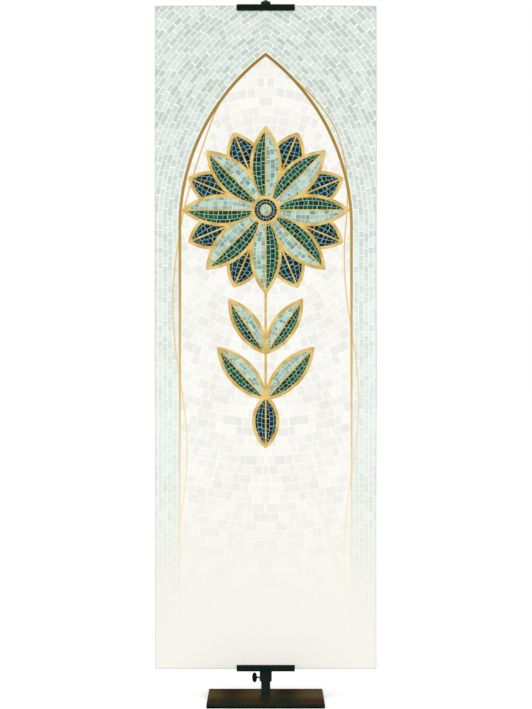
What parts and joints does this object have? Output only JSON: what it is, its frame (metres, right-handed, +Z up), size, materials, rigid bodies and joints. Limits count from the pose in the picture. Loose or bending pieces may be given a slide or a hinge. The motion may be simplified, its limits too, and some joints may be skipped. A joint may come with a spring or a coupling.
{
  "type": "church banner on a floor stand",
  "caption": "Tall narrow printed cloth banner, gripped at its top and bottom edges by short steel channels on a pole with a sliding sleeve, a thumb screw and a flat steel base.",
  "frame": {"origin": "on the floor, under the middle of the base plate and of the pole", "axes": "+Z up along the pole, +X to the right across the cloth, and the printed front of the cloth looks along -Y"},
  "size_m": [0.61, 0.27, 1.936],
  "materials": {
    "printed_cloth": "matte printed polyester, ivory ground with sage, green and gold print",
    "stand_paint": "satin black paint with a faint green cast",
    "plate_paint": "dark brown black, half gloss",
    "screw_steel": "blackened steel thread, lightly oiled",
    "wing_plastic": "black moulded plastic"
  },
  "bodies": {
    "stand": {"base_plate": "plate_paint", "pole": "stand_paint", "sliding_sleeve": "stand_paint", "pole_cap": "stand_paint", "upper_channel": "stand_paint", "lower_channel": "stand_paint", "banner_cloth": "printed_cloth"},
    "thumb_screw": {"screw_shank": "screw_steel", "screw_wing": "wing_plastic"}
  },
  "joints": [
    {"name": "screw_turn", "type": "hinge", "parent": "stand", "child": "thumb_screw", "pos_m": [-0.03055, 0, 0.0638], "axis": [-1, 0, 0], "range_deg": [0, 1710]}
  ]
}
